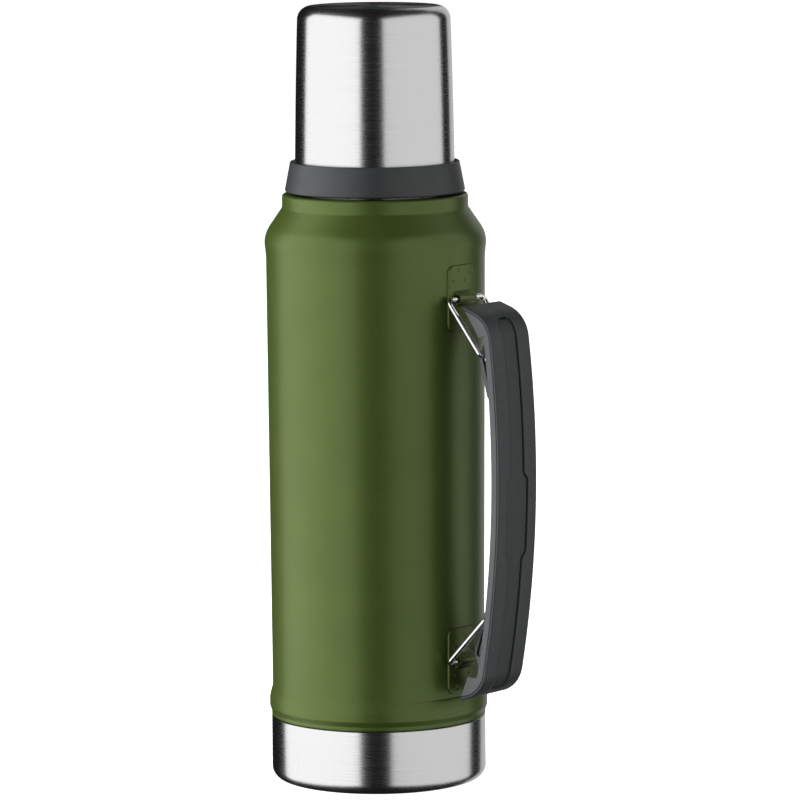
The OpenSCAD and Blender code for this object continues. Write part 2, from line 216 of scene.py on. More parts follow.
def wire(name, path, radius, sides=28):
    """A round wire along a path of points, with closed flat ends."""
    sections = []
    normal = Vector((0, 1, 0))
    end_rings = (0.25, 0.8)
    for i, here in enumerate(path):
        ahead = path[min(i + 1, len(path) - 1)] - path[max(i - 1, 0)]
        tangent = ahead.normalized()
        side = normal - tangent * normal.dot(tangent)
        if side.length < 1e-3:
            side = Vector((0, 0, 1)) - tangent * tangent.z
        side.normalize()
        normal = side
        other = tangent.cross(side)
        ring = [radius * (math.cos(t) * side + math.sin(t) * other)
                for t in (2 * math.pi * k / sides for k in range(sides))]
        if i == 0:
            sections.extend([here + share * p for p in ring] for share in end_rings)
        sections.append([here + p for p in ring])
        if i == len(path) - 1:
            sections.extend([here + share * p for p in ring] for share in reversed(end_rings))
    return mesh_piece(name, *sweep(sections), smooth=50)


def plate(name, outline, low, high, place, bevel=0.25):
    """A flat plate: an outline in (x, z), thick from low to high along Y, with eased edges."""
    count = len(outline)
    points = [place(x, y, z) for y in (low, high) for x, z in outline]
    faces = [list(range(count)), list(range(count, 2 * count))[::-1]]
    faces += [[k, (k + 1) % count, count + (k + 1) % count, count + k] for k in range(count)]
    piece = mesh_piece(name, points, faces)
    work = bmesh.new()
    work.from_mesh(piece.data)
    sharp = [e for e in work.edges if e.is_manifold and e.calc_face_angle() > math.radians(40)]
    bmesh.ops.bevel(work, geom=sharp, offset=bevel * MM, segments=2, affect="EDGES", profile=0.7)
    work.to_mesh(piece.data)
    work.free()
    tidy(piece)
    return piece


def combine(piece, tool, how):
    """Cuts a tool's shape out of a piece, or adds it, and removes the tool."""
    modifier = piece.modifiers.new(how, "BOOLEAN")
    modifier.operation = how
    modifier.solver = "EXACT"
    modifier.object = tool
    bpy.context.view_layer.update()
    depsgraph = bpy.context.evaluated_depsgraph_get()
    mesh = bpy.data.meshes.new_from_object(piece.evaluated_get(depsgraph))
    piece.modifiers.clear()
    piece.data = mesh
    bpy.data.objects.remove(tool)
    tidy(piece)
    return piece


def finish_piece(piece, body, node, material):
    """Gives a piece its material, hangs it on the body it rides on and hides the CAD node it stands for."""
    piece.data.materials.clear()
    piece.data.materials.append(material)
    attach(piece, body)
    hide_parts(node)


# ---------------------------------------------------------------- material helpers


class Surface:
    """A node material round one Principled shader, with its colour, roughness and bump from noise."""

    def __init__(self, name, roughness, metallic=0.0, specular=0.5):
        self.material = bpy.data.materials.new(name)
        self.material.use_nodes = True
        self.tree = self.material.node_tree
        self.shader = self.tree.nodes["Principled BSDF"]
        self.shader.inputs["Roughness"].default_value = roughness
        self.shader.inputs["Metallic"].default_value = metallic
        self.shader.inputs["Specular IOR Level"].default_value = specular
        self.place = self.node("TexCoord").outputs["Object"]
        self.bumped = None

    def node(self, kind, **inputs):
        made = self.tree.nodes.new("ShaderNode" + kind)
        for key, value in inputs.items():
            made.inputs[key.replace("_", " ")].default_value = value
        return made

    def link(self, source, target):
        self.tree.links.new(source, target)

    def stretched(self, x, y, z):
        """Object coordinates scaled along each axis, in 1/mm."""
        made = self.node("VectorMath")
        made.operation = "MULTIPLY"
        self.link(self.place, made.inputs[0])
        made.inputs[1].default_value = (x / MM, y / MM, z / MM)
        return made.outputs["Vector"]

    def turned(self, along, across):
        """Coordinates that run fast up and out of the flask, and slowly round it, in 1/mm."""
        parts = self.node("SeparateXYZ")
        self.link(self.place, parts.inputs[0])
        flat = self.node("CombineXYZ")
        self.link(parts.outputs["X"], flat.inputs["X"])
        self.link(parts.outputs["Y"], flat.inputs["Y"])
        reach = self.node("VectorMath")
        reach.operation = "LENGTH"
        self.link(flat.outputs[0], reach.inputs[0])
        total = self.node("Math")
        total.operation = "ADD"
        self.link(reach.outputs["Value"], total.inputs[0])
        self.link(parts.outputs["Z"], total.inputs[1])
        joined = self.node("CombineXYZ")
        self.link(parts.outputs["X"], joined.inputs["X"])
        self.link(parts.outputs["Y"], joined.inputs["Y"])
        self.link(total.outputs[0], joined.inputs["Z"])
        scaled = self.node("VectorMath")
        scaled.operation = "MULTIPLY"
        self.link(joined.outputs[0], scaled.inputs[0])
        scaled.inputs[1].default_value = (along / MM, along / MM, across / MM)
        return scaled.outputs["Vector"]

    def noise(self, where, detail=2.0, roughness=0.5):
        made = self.node("TexNoise", Scale=1.0, Detail=detail, Roughness=roughness)
        self.link(where, made.inputs["Vector"])
        return made.outputs["Fac"]

    def ramp(self, value, low, high, first, last):
        """Maps a value from low..high onto first..last."""
        made = self.node("MapRange")
        made.inputs["From Min"].default_value = low
        made.inputs["From Max"].default_value = high
        made.inputs["To Min"].default_value = first
        made.inputs["To Max"].default_value = last
        self.link(value, made.inputs["Value"])
        return made.outputs["Result"]

    def colour(self, value, first, last, low=0.35, high=0.65):
        made = self.node("Mix")
        made.data_type = "RGBA"
        made.inputs[6].default_value = (*first, 1)
        made.inputs[7].default_value = (*last, 1)
        self.link(self.ramp(value, low, high, 0, 1), made.inputs[0])
        self.link(made.outputs[2], self.shader.inputs["Base Color"])

    def rough(self, value, first, last, low=0.3, high=0.7):
        self.link(self.ramp(value, low, high, first, last), self.shader.inputs["Roughness"])

    def bump(self, value, depth, strength=1.0):
        """Bump of a real depth in millimetres. A second call adds to the first."""
        made = self.node("Bump", Strength=strength, Distance=depth * MM)
        self.link(value, made.inputs["Height"])
        if self.bumped:
            self.link(self.bumped, made.inputs["Normal"])
        self.bumped = made.outputs["Normal"]
        self.link(self.bumped, self.shader.inputs["Normal"])


def green_paint():
    """Satin paint with a little metal in it, over a faint orange peel."""
    made = Surface("green_paint", 0.36, metallic=0.42, specular=0.5)
    slow = made.noise(made.stretched(0.05, 0.05, 0.05), 3)
    made.colour(slow, (0.077, 0.120, 0.019), (0.084, 0.128, 0.022))
    made.rough(made.noise(made.stretched(0.4, 0.4, 0.4), 3), 0.34, 0.38)
    made.bump(made.noise(made.stretched(0.9, 0.9, 0.9), 2), 0.006, 0.5)
    made.bump(made.noise(made.stretched(6, 6, 6), 2), 0.002, 0.35)
    return made.material


def steel(name, first, last, roughness, streak, spread=0.75):
    """Steel brushed round the flask's axis, so that reflections smear up and down."""
    made = Surface(name, roughness, metallic=1.0)
    fine = made.noise(made.turned(0.03, 9), 3, 0.6)
    made.colour(fine, first, last)
    made.rough(made.noise(made.turned(0.02, 3), 2), roughness - 0.02, roughness + 0.03)
    made.bump(fine, streak, 0.4)
    made.shader.inputs["Anisotropic"].default_value = spread
    made.shader.inputs["Anisotropic Rotation"].default_value = 0.25
    tangent = made.node("Tangent")
    tangent.direction_type = "RADIAL"
    tangent.axis = "Z"
    made.link(tangent.outputs[0], made.shader.inputs["Tangent"])
    return made.material


def plain_metal(name, first, last, roughness, grain=1.5, depth=0.004):
    """Metal with no direction to its finish, a little uneven in tone and height."""
    made = Surface(name, roughness, metallic=1.0)
    value = made.noise(made.stretched(grain, grain, grain), 4)
    made.colour(value, first, last)
    made.rough(value, roughness - 0.04, roughness + 0.06)
    made.bump(value, depth, 0.5)
    return made.material


def moulded(name, first, last, roughness, grain=3.2, depth=0.012):
    """Moulded plastic or rubber with a fine sparked grain and slow changes of tone."""
    made = Surface(name, roughness)
    made.colour(made.noise(made.stretched(0.12, 0.12, 0.12), 3), first, last)
    made.rough(made.noise(made.stretched(0.8, 0.8, 0.8), 2), roughness - 0.03, roughness + 0.04)
    made.bump(made.noise(made.stretched(grain, grain, grain), 3, 0.6), depth, 0.6)
    return made.material


def foil():
    """Thin copper foil, creased where it is wrapped."""
    made = Surface("copper_foil", 0.25, metallic=1.0)
    crease = made.noise(made.stretched(0.12, 0.12, 0.3), 5, 0.65)
    made.colour(crease, (0.62, 0.30, 0.17), (0.85, 0.48, 0.30))
    made.rough(crease, 0.2, 0.34)
    made.bump(crease, 0.3, 0.7)
    return made.material


def make_materials():
    return {
        "green_paint": green_paint(),
        "brushed_steel": steel("brushed_steel", (0.615, 0.62, 0.615), (0.64, 0.645, 0.64), 0.26, 0.0005),
        "inner_steel": steel("inner_steel", (0.62, 0.62, 0.61), (0.68, 0.68, 0.67), 0.3, 0.002, 0.5),
        "dull_steel": plain_metal("dull_steel", (0.36, 0.36, 0.36), (0.46, 0.46, 0.45), 0.45),
        "solder": plain_metal("solder", (0.42, 0.43, 0.45), (0.56, 0.57, 0.58), 0.38, 0.9, 0.03),
        "copper_foil": foil(),
        "bright_wire": plain_metal("bright_wire", (0.72, 0.72, 0.74), (0.82, 0.82, 0.83), 0.14, 2.5, 0.001),
        "handle_grey": moulded("handle_grey", (0.078, 0.084, 0.090), (0.086, 0.092, 0.098), 0.52),
        "handle_dark": moulded("handle_dark", (0.034, 0.037, 0.039), (0.039, 0.042, 0.044), 0.5),
        "soft_band": moulded("soft_band", (0.031, 0.034, 0.035), (0.036, 0.039, 0.040), 0.56, 4.5, 0.008),
        "screw_steel": plain_metal("screw_steel", (0.34, 0.34, 0.35), (0.46, 0.46, 0.46), 0.32),
        "stopper_black": moulded("stopper_black", (0.012, 0.012, 0.013), (0.017, 0.017, 0.018), 0.4),
        "foam_core": moulded("foam_core", (0.62, 0.58, 0.44), (0.74, 0.70, 0.56), 0.8, 0.8, 0.25),
        "seal_rubber": moulded("seal_rubber", (0.40, 0.39, 0.36), (0.46, 0.45, 0.42), 0.42, 1.5, 0.004),
        "liner_grey": moulded("liner_grey", (0.055, 0.058, 0.062), (0.066, 0.070, 0.074), 0.38, 2.0, 0.004),
        "collar_dark": moulded("collar_dark", (0.030, 0.033, 0.035), (0.036, 0.039, 0.041), 0.44),
    }


# ---------------------------------------------------------------- flask


def body_at(z):
    """Outer radius of the tapered body at a height."""
    return BODY_R + FLARE * (z - TAPER_Z) / (FLARE_Z - TAPER_Z)


def arc(a, b, radius, start, end, steps=10):
    """Points of an arc, with angles in radians."""
    turns = [start + (end - start) * k / steps for k in range(steps + 1)]
    return [Vector((a + radius * math.cos(t), b + radius * math.sin(t))) for t in turns]


def outer_shell():
    skirt = BASE_R - SHEET
    bottom = rounded([
        (skirt, BEAD_Z + 6, 0), (skirt, SHELL_BOTTOM, 0.2), (BASE_R, SHELL_BOTTOM, 0.4),
        (BASE_R + 0.02, BEAD_Z - 0.9, 0.9), (BEAD_R, BEAD_Z + 1.4, 1.6), (BEAD_R, BEAD_Z + 5.2, 2.6),
        (BODY_R + 0.42, BEAD_Z + 9.0, 0.5), (BODY_R + 0.2, BEAD_Z + 9.5, 0.15),
        (body_at(41) + 0.1, BEAD_Z + 9.8, 0.15), (body_at(42.5), 42.5, 0)], closed=False)
    side = [Vector((body_at(z), z)) for z in (43, 60, 100, 140, 180, 212, 220, FLARE_Z - 1)]
    foot = body_at(FLARE_Z)
    swell = [Vector((foot + (SHOULDER_R - foot) * (k / 8) ** 1.3, FLARE_Z + (SHOULDER_Z - FLARE_Z) * k / 8))
             for k in range(8)]
    shoulder = arc(SHOULDER_R - SHOULDER_ROUND, SHOULDER_Z, SHOULDER_ROUND, 0, SLOPE, 14)
    neck = rounded([
        (shoulder[-1].x, shoulder[-1].y, 0),
        (shoulder[-1].x - 0.8, shoulder[-1].y + 0.8 / math.tan(SLOPE), 0),
        (NECK_R + 0.05, CREASE_Z - 0.4, 1.6), (NECK_R, NECK_TOP, 1.1), (TUBE_R + 0.02, NECK_TOP, 0.3),
        (TUBE_R + 0.02, NECK_TOP - SHEET, 0), (NECK_R - SHEET, NECK_TOP - SHEET, 0)], closed=False)
    inside = [Vector(p) for p in (
        (NECK_R - SHEET, CREASE_Z - 0.2), (SHOULDER_R - 2.4, 239.7), (SHOULDER_R - SHEET, SHOULDER_Z),
        (foot - SHEET, FLARE_Z), (BODY_R - SHEET, 41), (BODY_R - SHEET, BEAD_Z + 6))]
    return lathe("outer_shell_skin", bottom + side + swell + shoulder + neck[1:] + inside, smooth=28)


def base_cup():
    skirt = BASE_R - SHEET - 0.05
    profile = rounded([
        (0, 0.0, 0), (32.4, 0.0, 0.5), (33.2, 0.8, 0.4), (35.6, 0.8, 0.4), (36.4, 0.0, 0.5),
        (BASE_R, 0.0, 5.5), (BASE_R, SHELL_BOTTOM - 0.5, 0.5), (skirt, SHELL_BOTTOM - 0.2, 0.2),
        (skirt, 36, 0.2), (skirt - SHEET, 36, 0.2), (skirt - SHEET, SHELL_BOTTOM - 1, 0),
        (BASE_R - SHEET, SHELL_BOTTOM - 2, 0), (BASE_R - SHEET, 5.5, 4), (BASE_R - 6, 1.8, 0), (0, 1.8, 0)],
        closed=False, steps=10)
    return lathe("base_cup_skin", profile, closed=False)


def ridge(z, turn, start, end, pitch):
    """Height from 0 to 1 of a screw thread that fades in and out between two heights."""
    if not start < z < end:
        return 0.0
    fade = min(1.0, (z - start) / 1.5, (end - z) / 1.5)
    phase = ((z - start) / pitch - turn / (2 * math.pi)) % 1
    return fade * max(0.0, 1 - abs(phase - 0.5) / 0.28) ** 0.6


def heights(radius, low, high, step=0.35):
    """Points up a wall, close enough to carry a thread."""
    count = max(2, int(abs(high - low) / step))
    return [Vector((radius, low + (high - low) * k / count)) for k in range(count + 1)]


NECK_THREAD_LOW, NECK_THREAD_HIGH, NECK_PITCH = 262, 276, 4.5
THREAD_H = 0.5


def neck_tube():
    """Steel neck with a rolled rim, a seat for the stopper and a thread for the collar."""
    seat = NECK_TOP - 6
    seat_r = MOUTH_R - 2.2

    def shape(r, z, turn):
        if abs(r - TUBE_R) < 1e-4:
            return r + THREAD_H * ridge(z, turn, NECK_THREAD_LOW, NECK_THREAD_HIGH, NECK_PITCH)
        return r

    rim = rounded([
        (TUBE_R, MOUTH_Z - 3, 0), (TUBE_R, MOUTH_Z, 1.8), (MOUTH_R, MOUTH_Z, 1.8), (MOUTH_R, MOUTH_Z - 4, 0)],
        closed=False)
    profile = heights(TUBE_R, seat + 2, MOUTH_Z - 3) + rim[1:] + [Vector(p) for p in (
        (MOUTH_R, seat + 3.4), (seat_r, seat + 0.8), (seat_r, seat), (seat_r + SHEET, seat),
        (MOUTH_R + SHEET, seat + 2.9), (MOUTH_R + SHEET, MOUTH_Z - 1.6), (TUBE_R - SHEET, MOUTH_Z - 1.6),
        (TUBE_R - SHEET, seat + 2))]
    return lathe("neck_tube_skin", profile, shape=shape)


# ---------------------------------------------------------------- brackets and bails

KNUCKLE_R = 2.3
KNUCKLE_HALF = 5.75
PLATE_HALF_W = 9.35
PLATE_HALF_H = 14.4
PLATE_ROUND = 3.5


def bracket(name, hinge, side):
    """Pressed plate that follows the body, with a rolled knuckle across its middle and weld marks."""
    welds = [(-3.2, 12.2), (-6.6, 7.4), (1.4, 7.6), (5.6, 11.0)] if side > 0 else [
        (-5.6, 6.2), (-5.5, -5.6), (4.2, -6.4), (3.6, -11.5), (-4.4, -11.8)]
    across, up = 96, 150
    edge_round = 0.45
    lay = 0.05
    weld_depth = 0.42

    def lift(y, z):
        """Height of the plate's outer face over the body."""
        height = lay + SHEET
        for wy, wz in welds:
            height -= weld_depth * math.exp(-((y - wy) ** 2 + (z - wz) ** 2) / 0.42)
        rise = 1.6 + math.sqrt(max(KNUCKLE_R ** 2 - z * z, 0)) if abs(z) < KNUCKLE_R else 0
        foot = 1.5 * math.exp(-((abs(z) - KNUCKLE_R) / 0.7) ** 2) if abs(z) >= KNUCKLE_R else 0
        if abs(y) < KNUCKLE_HALF:
            height = max(height, rise, height + foot)
        return height

    def inside(y, z):
        """How far in from the plate's rounded edge a point lies."""
        qy, qz = abs(y) - (PLATE_HALF_W - PLATE_ROUND), abs(z) - (PLATE_HALF_H - PLATE_ROUND)
        return PLATE_ROUND - math.hypot(max(qy, 0), max(qz, 0)) - min(max(qy, qz), 0)

    ys = spread(-PLATE_HALF_W, PLATE_HALF_W, across, [-KNUCKLE_HALF, KNUCKLE_HALF])
    zs = spread(-PLATE_HALF_H, PLATE_HALF_H, up, [])
    top, low, points, faces = {}, {}, [], []
    for i, y0 in enumerate(ys):
        for j, z0 in enumerate(zs):
            y, z = into_outline(y0, z0)
            depth = inside(y, z)
            fall = edge_round - math.sqrt(max(edge_round ** 2 - max(edge_round - depth, 0) ** 2, 0))
            for store, height in ((top, lift(y0, z0) - fall), (low, lay)):
                radius = body_at(hinge.z + z) + height
                store[i, j] = len(points)
                points.append((math.sqrt(radius ** 2 - y * y), y, hinge.z + z))
    last_i, last_j = len(ys) - 1, len(zs) - 1
    for i in range(last_i):
        for j in range(last_j):
            faces.append([top[i, j], top[i + 1, j], top[i + 1, j + 1], top[i, j + 1]])
            faces.append([low[i, j], low[i, j + 1], low[i + 1, j + 1], low[i + 1, j]])
    for i in range(last_i):
        for j in (0, last_j):
            faces.append([top[i, j], top[i + 1, j], low[i + 1, j], low[i, j]])
    for j in range(last_j):
        for i in (0, last_i):
            faces.append([top[i, j], top[i, j + 1], low[i, j + 1], low[i, j]])
    piece = mesh_piece(name, points, faces, smooth=40)
    mouth, throat, out = 1.8, WIRE_R + 0.09, 9
    bore = [(0, -out), (mouth, -out), (mouth, -4.9), (throat, -4.4),
            (throat, 4.4), (mouth, 4.9), (mouth, out), (0, out)]
    tool = lathe(name + "_bore", [Vector(p) for p in bore], closed=False, around=48)
    tool.data.transform(Matrix.Rotation(math.radians(90), 4, "X"))
    tool.data.transform(Matrix.Translation(hinge * MM))
    return combine(piece, tool, "DIFFERENCE")


def spread(low, high, count, sharp):
    """Even steps from low to high, with a close pair of steps at each sharp place."""
    steps = [low + (high - low) * k / count for k in range(count + 1)]
    for place in sharp:
        steps = [s for s in steps if abs(s - place) > 0.12] + [place - 0.03, place + 0.03]
    return sorted(steps)


def into_outline(y, z):
    """Moves a point of the plate's rectangle inside its rounded outline."""
    qy, qz = abs(y) - (PLATE_HALF_W - PLATE_ROUND), abs(z) - (PLATE_HALF_H - PLATE_ROUND)
    if qy <= 0 or qz <= 0:
        return y, z
    square = max(qy, qz)
    share = square / math.hypot(qy, qz)
    return (math.copysign(PLATE_HALF_W - PLATE_ROUND + qy * share, y),
            math.copysign(PLATE_HALF_H - PLATE_ROUND + qz * share, z))


def bail(name, hinge, angle, up):
    """Bent wire with both ends in the knuckle and its cross bar in the handle."""
    end, foot, bar, bend = 1.8, 12.516, 10.323, 2.6
    outline = rounded([
        (end, 0, 0), (foot, 0, bend), (bar, BAIL_L, bend), (-bar, BAIL_L, bend),
        (-foot, 0, bend), (-end, 0, 0)], closed=False, steps=12)
    way = Vector((math.sin(angle), 0, math.cos(angle) * up))
    return wire(name, [hinge + Vector((0, -across, 0)) + way * along for across, along in outline], WIRE_R)


# ---------------------------------------------------------------- handle

ARCH_ANGLE = math.asin(CORNER_Z / (ARCH - CORNER))
ARCH_L = ARCH * ARCH_ANGLE
CORNER_L = CORNER * CORNER_TURN
HALF_L = ARCH_L + CORNER_L + TIP
CORNER_AT = Vector(((ARCH - CORNER) * math.cos(ARCH_ANGLE) - ARCH, CORNER_Z))
COVER_T = 1.3
WEB_IN = 4.4
GRIP_T = 6.6
FLANGE_T = 1.4
CRISP = 0.01
BAND_DEPTH = 0.55
BAND_GAP = 0.45
BAND_MIDDLE = -4.4
BAND_HALF_L = 17.3
BAND_END = ARCH_L + CORNER * math.radians(38)


def spine(s):
    """Point and outward direction of the handle's outer face at a length from its middle."""
    far, way = abs(s), math.copysign(1, s)
    if far <= ARCH_L:
        turn = far / ARCH
        out = Vector((math.cos(turn), math.sin(turn)))
        point = Vector((-ARCH, 0)) + ARCH * out
    else:
        turn = ARCH_ANGLE + min((far - ARCH_L) / CORNER, CORNER_TURN)
        out = Vector((math.cos(turn), math.sin(turn)))
        beyond = max(far - ARCH_L - CORNER_L, 0)
        point = CORNER_AT + CORNER * out + beyond * Vector((-out.y, out.x))
    return Vector((point.x, way * point.y)), Vector((out.x, way * out.y))


def handle_point(x, y, z):
    """A point given round the handle's middle, in the CAD frame."""
    return Vector((GRIP_R + x * math.cos(GRIP_LEAN) + z * math.sin(GRIP_LEAN), y,
                   GRIP_Z - x * math.sin(GRIP_LEAN) + z * math.cos(GRIP_LEAN)))


def on_handle(s, y, depth):
    point, out = spine(s)
    at = point - depth * out
    return handle_point(at.x, y, at.y)


def stations(step=0.9, sharp=()):
    """Lengths along the handle, closer at its corners and at sharp places."""
    lengths = [-HALF_L]
    while lengths[-1] < HALF_L:
        lengths.append(min(lengths[-1] + step, HALF_L))
    for place in sharp:
        lengths = [s for s in lengths if abs(s - place) > 0.15] + [place - 0.04, place + 0.04]
    return sorted(lengths)


def smooth_step(value):
    value = min(max(value, 0), 1)
    return value * value * (3 - 2 * value)


def band_half(s):
    """Half the width of the band let into the handle's face, at a length along it."""
    off = abs(s - BAND_MIDDLE)
    jog = 1.9
    half = 4.2 + 2.6 * smooth_step((BAND_HALF_L + jog - off) / (2 * jog))
    corner = 2.4
    past = abs(s) - (BAND_END - corner)
    if past > 0:
        half -= corner - math.sqrt(max(corner ** 2 - min(past, corner) ** 2, 0))
    return half


def handle_cover():
    ends = (-BAND_END - BAND_GAP, BAND_END + BAND_GAP)
    sections = []
    for s in stations(0.75, ends):
        open_here = abs(s) < BAND_END + BAND_GAP
        half = band_half(max(min(s, BAND_END), -BAND_END)) + BAND_GAP
        floor = 1.6 if open_here else 0.0
        lip = 0.22 if open_here else 0.0
        edge = rounded([(half + 1.5, 0, 0), (HALF_W, 0, 2.1), (HALF_W, COVER_T, 0)], closed=False, steps=7)
        section = [(0, floor), (half * 0.5, floor), (half - 0.02, floor), (half, max(floor - 0.02, 0)),
                   (half, lip), (half + 0.06, lip * 0.3), (half + 0.22, 0)]
        section += [(p.x, p.y) for p in edge[:-1]]
        section += [(HALF_W, COVER_T - 0.18), (HALF_W - 0.1, COVER_T - 0.05), (HALF_W - 0.35, COVER_T),
                    (HALF_W - 1.6, COVER_T + 0.01), (HALF_W - 1.6, WEB_IN - 0.15), (0, WEB_IN - 0.15)]
        sections.append([on_handle(s, y, d) for y, d in full_section(section)])
    return end_cut(mesh_piece("handle_cover_shell", *sweep(sections), smooth=30))


def full_section(half_section):
    """Closes a half cross-section that starts and ends on the middle line."""
    return half_section + [(-y, d) for y, d in reversed(half_section[1:-1])]


def grip_insert():
    sections = []
    end = BAND_END
    for s in [length for length in stations(0.75) if abs(length) < end - 0.05]:
        near_end = smooth_step((end - abs(s)) / 0.7)
        top = BAND_DEPTH + 0.35 * (1 - near_end)
        half = band_half(s)
        section = [(0, top - 0.12), (half * 0.6, top - 0.05), (half - 0.45, top), (half - 0.12, top + 0.1),
                   (half, top + 0.35), (half, 1.55), (0, 1.55)]
        sections.append([on_handle(s, y, d) for y, d in full_section(section)])
    return mesh_piece("grip_insert_band", *sweep(sections), smooth=40)


def handle_frame():
    sections = []
    for s in stations(0.9):
        corners = [(HALF_W - 0.25, COVER_T + 0.08, 0), (HALF_W, COVER_T + 0.3, 0.2),
                   (HALF_W, WEB_IN + 0.1, 1.3), (HALF_W - 4.0, GRIP_T, 2.6), (0, GRIP_T, 0)]
        outside = rounded(corners, closed=False, steps=6)
        wall = HALF_W - FLANGE_T
        inside = [(0, WEB_IN + 0.05), (wall, WEB_IN + 0.05), (wall, COVER_T + 0.08)]
        half = [(p.x, p.y) for p in outside]
        left = [(-y, d) for y, d in reversed(half[:-1])]
        section = inside[1:] + half + left + [(-y, d) for y, d in reversed(inside[1:])] + [inside[0]]
        sections.append([on_handle(s, y, d) for y, d in section])
    piece = mesh_piece("handle_frame_shell", *sweep(sections), smooth=30)
    for way in (1, -1):
        wall = HALF_W - FLANGE_T
        scoop = plate("scoop", slot_outline(way, 12), -wall, wall, handle_point, CRISP)
        combine(piece, scoop, "DIFFERENCE")
        for side in (1, -1):
            for part in (gusset(way, side), rib(way, side)):
                combine(piece, part, "UNION")
    return end_cut(screw_holes(piece))


WEB_TIP = {1: (-22.4, 87.0), -1: (-20.0, 87.0)}
WEB_CORNER = {1: (-12.6, 73.2), -1: (-15.3, 74.4)}


def gusset(way, side):
    """Corner web of a side flange at the handle's end."""
    corner = WEB_CORNER[way]
    bend = arc(*CORNER_AT, CORNER - 3, math.radians(22), math.radians(86))
    outline = [(x, way * z) for x, z in [corner] + [tuple(p) for p in bend]]
    low, high = sorted((side * (HALF_W - 1.35), side * (HALF_W - 0.02)))
    return plate("gusset", outline, low, high, handle_point, 0.2)


SLOT_IN = (-8.57, 48.78)
SLOT_OUT = (-13.47, 64.80)
SLOT_R = WIRE_R + 0.45
RIB_Y = 6.9
RIB_HALF_T = 0.9


def rib(way, side):
    """Rib with the slot that a bail's cross bar passes through."""
    outline = [(p.x, p.y) for p in rounded([
        (-7, 44, 0), (-9.0, 44, 1.0), (-11.97, 47.6, 2.2), (-16.4, 64.2, 3.0), (-14.2, 70, 2.5),
        (-13.2, 77, 0.4), (-12.2, 76, 0)], closed=False, steps=5)]
    at = side * RIB_Y
    outline = [(x, way * z) for x, z in outline]
    piece = plate("rib", outline, at - RIB_HALF_T, at + RIB_HALF_T, handle_point, 0.2)
    tool = plate("slot", slot_outline(way, 0), at - 2, at + 2, handle_point, CRISP)
    return combine(piece, tool, "DIFFERENCE")


def slot_outline(way, grown):
    """Outline of a cross bar's slot, grown inwards by a width."""
    along = (Vector(SLOT_OUT) - Vector(SLOT_IN)).normalized()
    turn = math.atan2(along.y, along.x)
    inwards = Vector((-along.y, along.x)) * grown
    ends = arc(*SLOT_OUT, SLOT_R, turn - math.pi / 2, turn + math.pi / 2, 12)
    ends += [ends[-1] + inwards] if grown else []
    back = arc(*SLOT_IN, SLOT_R, turn + math.pi / 2, turn + 3 * math.pi / 2, 12)
    ends += ([back[0] + inwards] if grown else []) + back
    return [(p.x, way * p.y) for p in ends]


def end_cut(piece):
    """Cuts the slanted ends of the handle."""
    for way in (1, -1):
        tip, corner = WEB_TIP[way], WEB_CORNER[way]
        outline = [tip, corner, (corner[0] - 16, corner[1] - 13), (tip[0] - 16, tip[1])]
        tool = plate("cutter", [(x, way * z) for x, z in outline], -20, 20, handle_point, CRISP)
        combine(piece, tool, "DIFFERENCE")
    return piece


SCREW_Z = 30
SCREW_SEAT = 0.6
HEAD_R, SHANK_R = 3.2, 1.6


def screw_holes(piece):
    """Cuts the two stepped holes of the screws into the handle's back."""
    profile = [(0, -4), (HEAD_R, -4), (HEAD_R, SCREW_SEAT), (SHANK_R, SCREW_SEAT), (SHANK_R, 4), (0, 4)]
    for z in (-SCREW_Z, SCREW_Z):
        tool = lathe("screw_hole", [Vector(p) for p in profile], closed=False, around=40)
        tool.data.transform(Matrix.Rotation(math.radians(90), 4, "Y"))
        for vertex in tool.data.vertices:
            at = vertex.co / MM
            vertex.co = handle_point(at.x - GRIP_T, at.y, at.z + z) * MM
        combine(piece, tool, "DIFFERENCE")
    return piece


# ---------------------------------------------------------------- stopper and cup

PLUG_R = MOUTH_R - 0.4
PLUG_Z = NECK_TOP - 2
NOSE_R = MOUTH_R - 3.8
NOSE_Z = NECK_TOP - 8
KNOB_Z = MOUTH_Z + 2
KNOB_R = MOUTH_R - 1


def stopper_body():
    def shape(r, z, turn):
        if abs(r - PLUG_R) < 1e-4:
            return r - 0.9 * ridge(z, turn, PLUG_Z + 3, KNOB_Z - 5, 5.0)
        return r

    profile = rounded([(0, NOSE_Z, 0), (NOSE_R, NOSE_Z, 1.2), (NOSE_R, PLUG_Z, 0.2), (PLUG_R, PLUG_Z, 0.5),
                       (PLUG_R, PLUG_Z + 2, 0)], closed=False)
    profile += heights(PLUG_R, PLUG_Z + 2, KNOB_Z - 0.1)
    profile += [Vector(p) for p in (
        (PLUG_R - 2, KNOB_Z - 0.1), (PLUG_R - 2, PLUG_Z + 2), (NOSE_R - 2, PLUG_Z + 2),
        (NOSE_R - 2, NOSE_Z + 2), (0, NOSE_Z + 2))]
    return lathe("stopper_body_skin", profile, closed=False, shape=shape)


def stopper_knob():
    top = top_of("stopper_knob")

    def shape(r, z, turn):
        if r < KNOB_R - 2.6 or z < KNOB_Z + 2.4:
            return r
        flute = max(0.0, math.cos(18 * turn)) ** 1.5
        return r - 0.85 * flute * smooth_step((z - KNOB_Z - 2.4) / 1.2)

    profile = rounded([
        (0, KNOB_Z, 0), (KNOB_R, KNOB_Z, 0.5), (KNOB_R, KNOB_Z + 2.4, 0.3), (KNOB_R, KNOB_Z + 3.6, 0),
        (KNOB_R, top - 4, 0), (KNOB_R, top, 2.2), (KNOB_R - 7.6, top, 0.8), (KNOB_R - 8.6, top - 1.0, 0.8),
        (4, top - 1.0, 0.5), (3.4, top - 1.4, 0.4), (0, top - 1.4, 0)], closed=False)
    return lathe("stopper_knob_skin", profile, closed=False, shape=shape)


